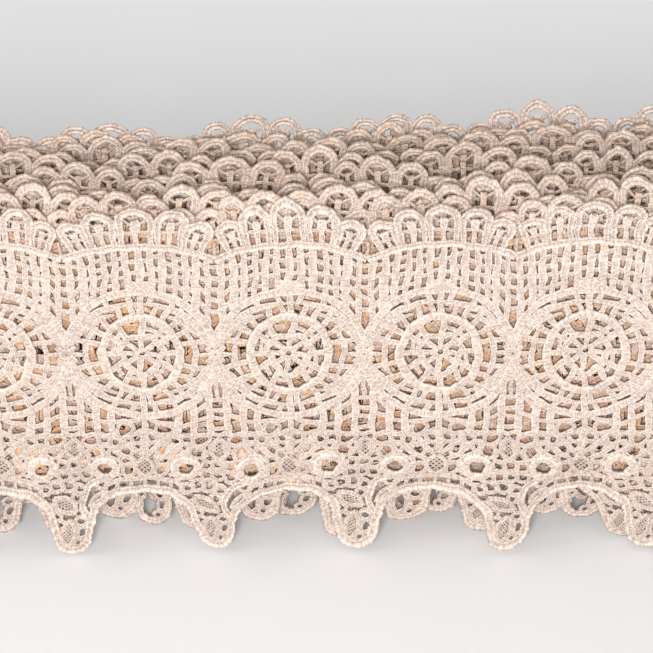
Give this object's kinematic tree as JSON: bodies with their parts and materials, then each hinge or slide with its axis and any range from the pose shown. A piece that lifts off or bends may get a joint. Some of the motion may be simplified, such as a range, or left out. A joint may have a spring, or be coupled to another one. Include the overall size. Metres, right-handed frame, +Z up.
{
  "type": "roll of lace trim",
  "caption": "Wide ivory guipure lace trim with a looped upper edge and deep lower scallops, wound into a flat roll that stands on its scallops.",
  "frame": {"origin": "middle of the roll's footprint, on the surface it stands on", "axes": "+X along the roll, +Y through its thickness with the best face towards -Y, +Z up the width of the lace"},
  "size_m": [0.2344, 0.0424, 0.1093],
  "materials": {
    "lace": "matte ivory cotton thread with satin-stitched raised cords"
  },
  "bodies": {
    "root": {"lace_roll": "lace"}
  },
  "joints": []
}
